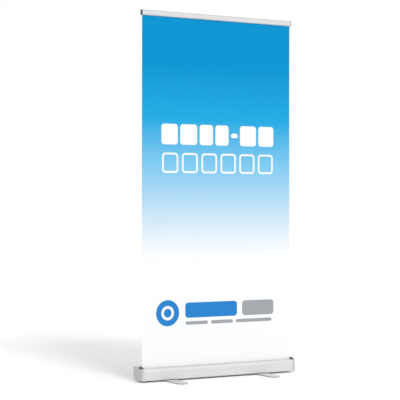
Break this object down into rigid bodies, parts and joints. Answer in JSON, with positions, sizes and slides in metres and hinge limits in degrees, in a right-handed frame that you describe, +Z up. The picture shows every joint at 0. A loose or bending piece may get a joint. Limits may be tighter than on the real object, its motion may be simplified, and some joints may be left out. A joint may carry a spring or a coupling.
{
  "type": "roll-up banner stand",
  "caption": "Free-standing roll-up banner: a printed film drawn from a spring roller in a flat base, held up by a telescopic pole and clamped in a top rail.",
  "frame": {"origin": "on the floor, midway between the two end caps and midway between the tips of the feet", "axes": "+X along the base to the right of a person who faces the print, +Y to the back, +Z up"},
  "size_m": [1.036, 0.374, 2.11],
  "materials": {
    "aluminium": "anodised silver extrusion",
    "cap_grey": "moulded light grey",
    "dark_plastic": "moulded dark grey",
    "black_plastic": "moulded black",
    "powder_coat": "fine silver-grey powder coat",
    "steel": "zinc plated",
    "rubber": "matte",
    "film": "satin printed film",
    "leader": "plain grey film",
    "nylon": "natural nylon"
  },
  "bodies": {
    "cassette": {"cassette_shell": "aluminium", "slot_guide": "dark_plastic", "end_cap_left": "cap_grey", "end_cap_right": "cap_grey", "slot_cheek_left": "dark_plastic", "slot_cheek_right": "dark_plastic", "bearing_plate_left": "dark_plastic", "bearing_plate_right": "dark_plastic", "cap_screw_left_low": "steel", "cap_screw_left_high": "steel", "cap_screw_right_low": "steel", "cap_screw_right_high": "steel", "spring_shaft": "steel", "spring_anchor": "nylon", "idle_pin": "steel", "pole_socket": "dark_plastic", "pole_foot_plug": "black_plastic", "pole_lower": "aluminium", "pivot_bolt_left": "steel", "pivot_bolt_right": "steel", "lock_nut_left": "steel", "lock_nut_right": "steel", "stop_stud_left": "steel", "stop_stud_right": "steel", "film_lower": "film"},
    "roller": {"roller_tube": "aluminium", "wound_film": "leader", "roller_plug_left": "nylon", "roller_plug_right": "nylon", "torsion_spring": "steel"},
    "left_foot": {"foot_left": "powder_coat", "pivot_washer_left": "nylon", "foot_pad_left_front": "rubber", "foot_pad_left_back": "rubber"},
    "right_foot": {"foot_right": "powder_coat", "pivot_washer_right": "nylon", "foot_pad_right_front": "rubber", "foot_pad_right_back": "rubber"},
    "lock": {"lock_pin": "black_plastic"},
    "lower_collar": {"collar_lower": "black_plastic"},
    "mid_tube": {"pole_mid": "aluminium", "guide_bush_mid": "nylon"},
    "upper_collar": {"collar_upper": "black_plastic"},
    "upper_tube": {"pole_upper": "aluminium", "guide_bush_upper": "nylon", "pole_tip": "black_plastic", "film_upper": "film"},
    "top_rail": {"rail_back": "aluminium", "pole_hook": "black_plastic", "rail_cap_left": "dark_plastic", "rail_cap_right": "dark_plastic", "hook_screw_left": "steel", "hook_screw_right": "steel", "grip_strip": "leader"},
    "front_jaw": {"rail_jaw": "aluminium"}
  },
  "joints": [
    {"name": "foot_left_swing", "type": "hinge", "parent": "cassette", "child": "left_foot", "pos_m": [-0.331, 0, 0.005], "axis": [0, 0, -1], "range_deg": [0, 90]},
    {"name": "foot_right_swing", "type": "hinge", "parent": "cassette", "child": "right_foot", "pos_m": [0.286, 0, 0.005], "axis": [0, 0, 1], "range_deg": [0, 90]},
    {"name": "lock_pin_slide", "type": "slide", "parent": "cassette", "child": "lock", "axis": [1, 0, 0], "range_m": [0, 0.03]},
    {"name": "collar_lower_twist", "type": "hinge", "parent": "cassette", "child": "lower_collar", "pos_m": [0, 0.032, 0.72], "axis": [0, 0, 1], "range_deg": [0, 90]},
    {"name": "pole_mid_slide", "type": "slide", "parent": "cassette", "child": "mid_tube", "axis": [0, 0, 1], "range_m": [-0.6, 0], "deforming": ["film_lower"]},
    {"name": "collar_upper_twist", "type": "hinge", "parent": "mid_tube", "child": "upper_collar", "pos_m": [0, 0.032, 1.362], "axis": [0, 0, 1], "range_deg": [0, 90]},
    {"name": "pole_upper_slide", "type": "slide", "parent": "mid_tube", "child": "upper_tube", "axis": [0, 0, 1], "range_m": [-0.6, 0]},
    {"name": "rail_lift", "type": "slide", "parent": "upper_tube", "child": "top_rail", "axis": [0, 0, 1], "range_m": [0, 0.018]},
    {"name": "rail_jaw_swing", "type": "hinge", "parent": "top_rail", "child": "front_jaw", "pos_m": [0, 0.0046, 2.1054], "axis": [-1, 0, 0], "range_deg": [0, 30]},
    {"name": "roller_spin", "type": "hinge", "parent": "cassette", "child": "roller", "pos_m": [0, -0.007, 0.044], "axis": [1, 0, 0], "range_deg": [-4600, 0]}
  ],
  "couplings": [
    {"joint": "pole_upper_slide", "follows": "pole_mid_slide", "ratio": 1},
    {"joint": "roller_spin", "follows": "pole_mid_slide", "rad_per_m": 132.45}
  ]
}
